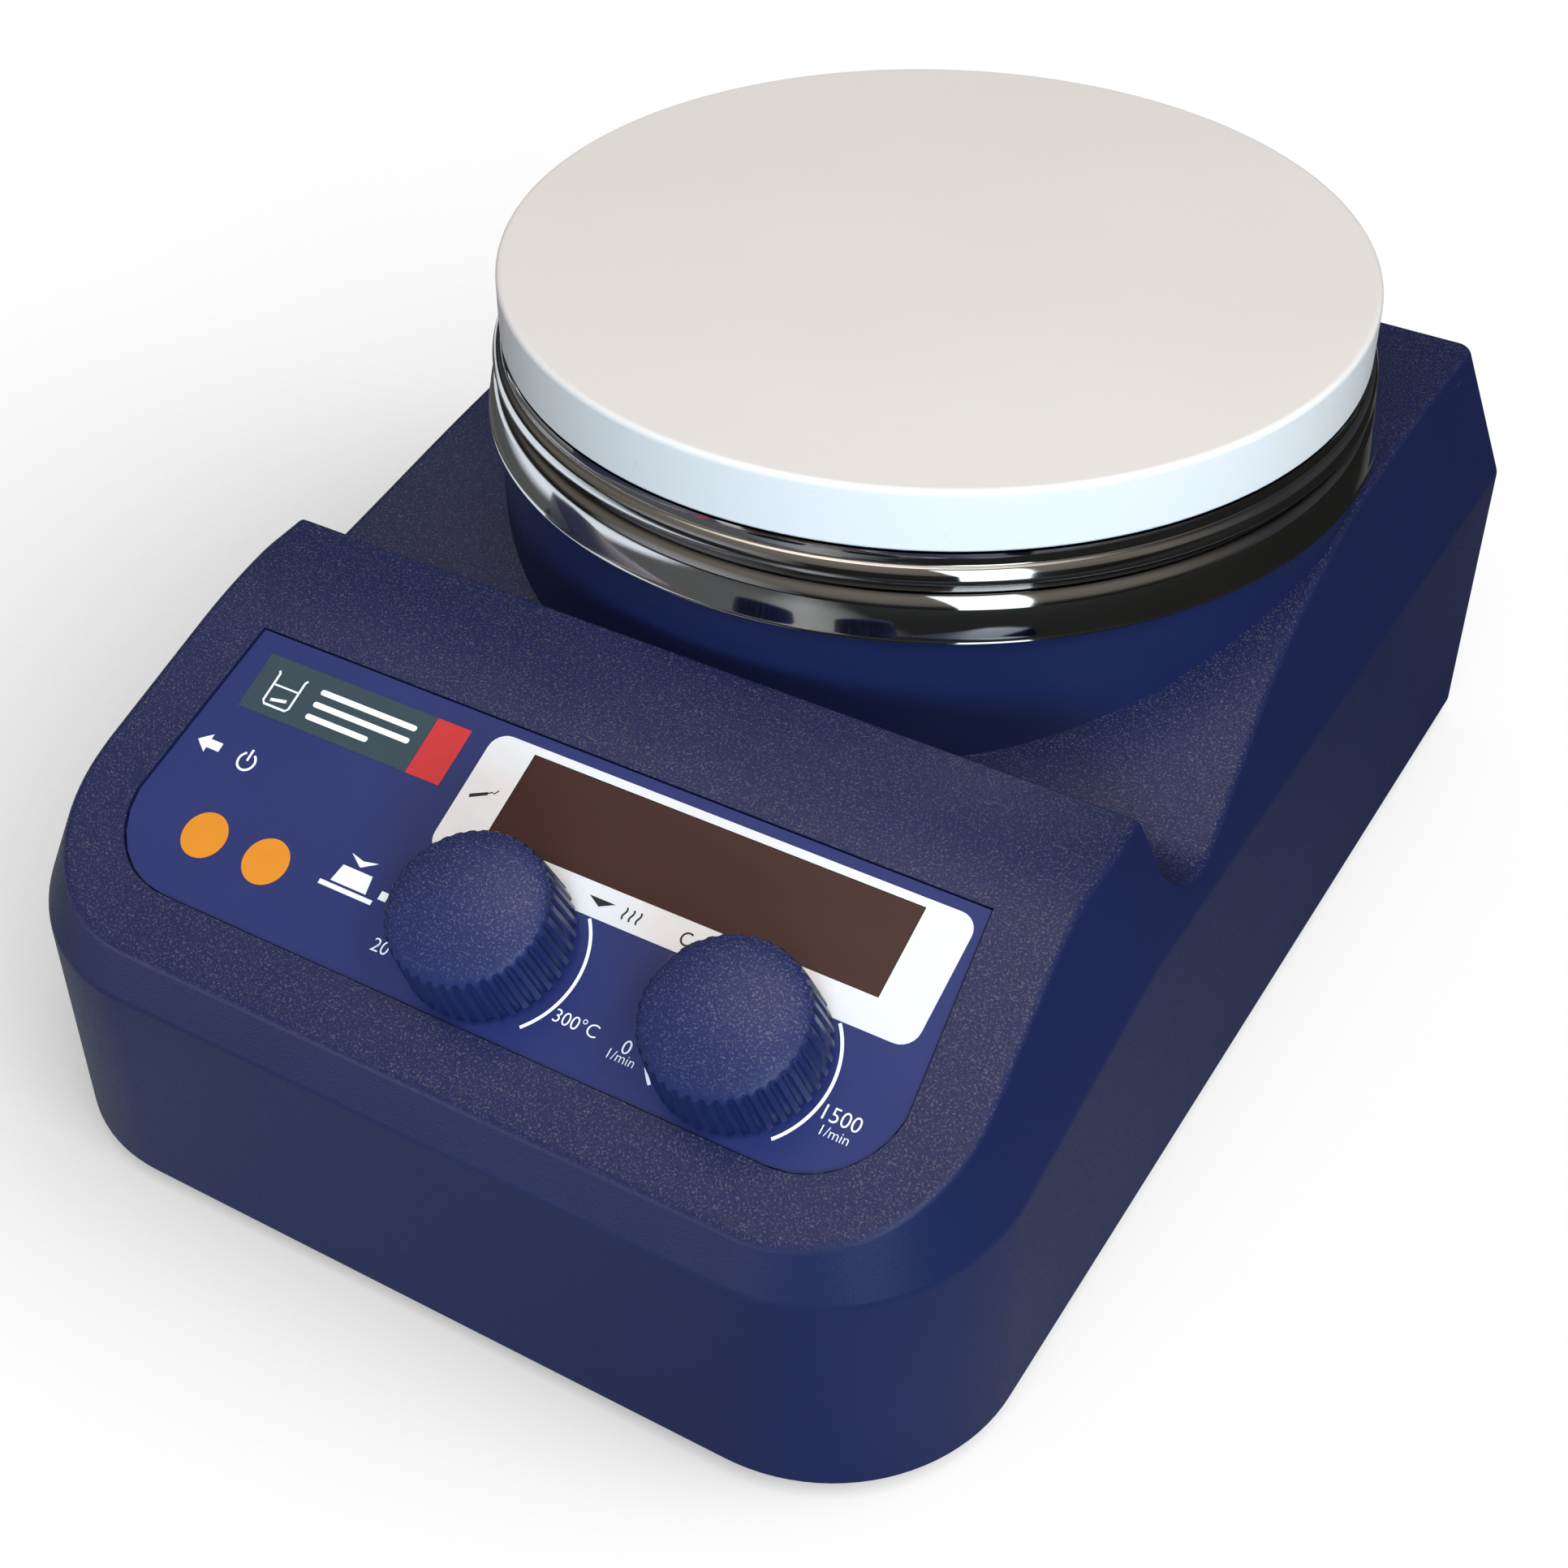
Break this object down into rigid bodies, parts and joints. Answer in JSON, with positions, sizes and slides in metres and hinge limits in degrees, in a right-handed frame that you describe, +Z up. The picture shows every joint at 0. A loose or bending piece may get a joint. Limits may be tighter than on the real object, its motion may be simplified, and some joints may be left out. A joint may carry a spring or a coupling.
{
  "type": "magnetic stirrer",
  "caption": "Low wedge-shaped laboratory hot-plate stirrer: round white plate on a chrome shield and drum behind a sloping console with a display window and push-turn knobs.",
  "frame": {"origin": "centre of the footprint's bounding box, on the bench under the feet", "axes": "+X to the right of someone facing the console, -Y towards that person, +Z up"},
  "size_m": [0.1546, 0.215, 0.1012],
  "materials": {
    "housing": "fine-grained navy",
    "label": "satin printed film",
    "knob": "fine-grained blue",
    "plate": "smooth off-white coating",
    "chrome": "polished",
    "steel": "zinc plated",
    "winding": "lacquered copper winding",
    "brass": "plain",
    "magnet": "sintered and plated",
    "rubber": "matt black",
    "black": "matt black",
    "grey": "matt grey",
    "window": "dark brown, glossy",
    "board": "solder resist on glass fibre",
    "wool": "felted mineral fibre"
  },
  "bodies": {
    "chassis": {"base_plate": "steel", "base_screw_1": "steel", "base_screw_2": "steel", "base_screw_3": "steel", "base_screw_4": "steel", "bearing_bottom": "steel", "bearing_top": "steel", "bracket_screw_1": "steel", "bracket_screw_2": "steel", "bracket_screw_3": "steel", "control_board": "board", "display_board": "board", "display_module": "black", "display_window": "window", "foot_front_left": "rubber", "foot_front_right": "rubber", "foot_rear_left": "rubber", "foot_rear_right": "rubber", "heat_encoder_body": "grey", "heat_encoder_nut": "steel", "heat_shield": "chrome", "heater_cable": "rubber", "heater_ring": "steel", "hot_plate": "plate", "housing": "housing", "insulation_ring": "wool", "label_film": "label", "mains_cable": "rubber", "mains_inlet": "black", "motor_bracket": "steel", "motor_cable": "rubber", "motor_can": "steel", "motor_end_cap": "black", "power_board": "board", "power_supply": "grey", "probe_socket": "black", "standoff_1": "steel", "standoff_2": "steel", "standoff_3": "steel", "standoff_screw_1": "steel", "standoff_screw_2": "steel", "standoff_screw_3": "steel", "stator": "winding", "stir_encoder_body": "grey", "stir_encoder_nut": "steel", "switch_body": "black", "temperature_sensor": "brass"},
    "heat_button": {"heat_plunger": "grey"},
    "heat_dial": {"heat_knob": "knob", "heat_encoder_shaft": "steel"},
    "stir_button": {"stir_plunger": "grey"},
    "stir_dial": {"stir_knob": "knob", "stir_encoder_shaft": "steel"},
    "rotor": {"motor_shaft": "steel", "rotor_core": "magnet", "magnet_carrier": "black", "drive_magnet_1": "magnet", "drive_magnet_2": "magnet"},
    "rocker": {"switch_rocker": "black"},
    "fuse_tray": {"fuse_drawer": "grey"}
  },
  "joints": [
    {"name": "heat_push", "type": "slide", "parent": "chassis", "child": "heat_button", "axis": [0, 0.4096, -0.9123], "range_m": [0, 0.0005], "stiffness_N_per_m": 600},
    {"name": "heat_turn", "type": "hinge", "parent": "heat_button", "child": "heat_dial", "pos_m": [-0.0002, -0.08462, 0.05472], "axis": [0, 0.4096, -0.9123], "range_deg": [0, 270]},
    {"name": "stir_push", "type": "slide", "parent": "chassis", "child": "stir_button", "axis": [0, 0.4096, -0.9123], "range_m": [0, 0.0005], "stiffness_N_per_m": 600},
    {"name": "stir_turn", "type": "hinge", "parent": "stir_button", "child": "stir_dial", "pos_m": [0.0388, -0.08462, 0.05472], "axis": [0, 0.4096, -0.9123], "range_deg": [0, 270]},
    {"name": "stir_spin", "type": "hinge", "parent": "chassis", "child": "rotor", "pos_m": [0, 0.0372, 0.079], "axis": [0, 0, 1], "continuous": true},
    {"name": "rocker_tilt", "type": "hinge", "parent": "chassis", "child": "rocker", "pos_m": [-0.074, -0.072, 0.026], "axis": [0, 0, 1], "range_deg": [0, 18]},
    {"name": "fuse_pull", "type": "slide", "parent": "chassis", "child": "fuse_tray", "axis": [0, 1, 0], "range_m": [0, 0.018]}
  ]
}
